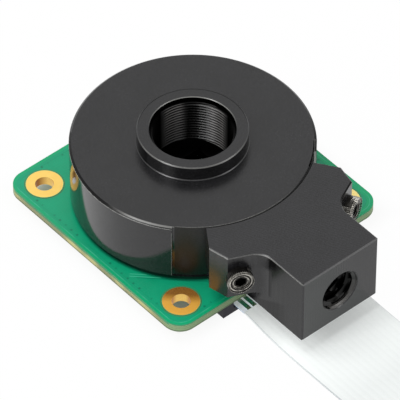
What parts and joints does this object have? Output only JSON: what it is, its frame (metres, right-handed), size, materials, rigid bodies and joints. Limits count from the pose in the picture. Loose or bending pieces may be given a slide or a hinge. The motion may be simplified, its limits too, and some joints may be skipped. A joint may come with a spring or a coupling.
{
  "type": "board camera module",
  "caption": "Square circuit board with a round threaded lens housing, a side foot with a tripod thread, and a flat ribbon from an underside connector.",
  "frame": {"origin": "on the lens axis at the top face of the circuit board, in the middle of its four corner holes", "axes": "+Z along the lens axis out of the housing's mouth, -Y out of the tripod foot's front face, X along the board's edges"},
  "size_m": [0.038, 0.1338, 0.0171],
  "materials": {
    "solder_mask_board": "satin solder mask over glass laminate",
    "gold_plating": "satin plating",
    "black_anodised": "matte anodised",
    "black_oxide_steel": "oiled black oxide",
    "sensor_ceramic": "matte ceramic",
    "silicon": "polished",
    "cover_glass": "clear",
    "connector_plastic": "moulded",
    "latch_plastic": "moulded",
    "tinned_metal": "bright tin",
    "ribbon_white": "satin film",
    "stiffener_blue": "satin film",
    "black_moulding": "moulded",
    "capacitor_ceramic": "fired ceramic",
    "ferrite": "matte ferrite"
  },
  "bodies": {
    "module": {"circuit_board": "solder_mask_board", "mounting_pads": "gold_plating", "lens_housing": "black_anodised", "housing_screws": "black_oxide_steel", "tripod_foot": "black_anodised", "foot_screws": "black_oxide_steel", "sensor_package": "sensor_ceramic", "sensor_die": "silicon", "sensor_cover_glass": "cover_glass", "connector_body": "connector_plastic", "connector_contacts": "tinned_metal", "connector_anchors": "tinned_metal", "ribbon_film": "ribbon_white", "ribbon_contacts_near": "tinned_metal", "ribbon_contacts_far": "tinned_metal", "ribbon_stiffener_near": "stiffener_blue", "ribbon_stiffener_far": "stiffener_blue", "oscillator_base": "sensor_ceramic", "oscillator_lid": "tinned_metal", "voltage_regulators": "black_moulding", "regulator_leads": "tinned_metal", "capacitors": "capacitor_ceramic", "capacitor_caps": "tinned_metal", "resistors": "black_moulding", "resistor_caps": "tinned_metal", "inductors": "ferrite", "inductor_caps": "tinned_metal"},
    "latch": {"connector_latch": "latch_plastic"}
  },
  "joints": [
    {"name": "latch_slide", "type": "slide", "parent": "module", "child": "latch", "axis": [0, -1, 0], "range_m": [0, 0.001]}
  ]
}
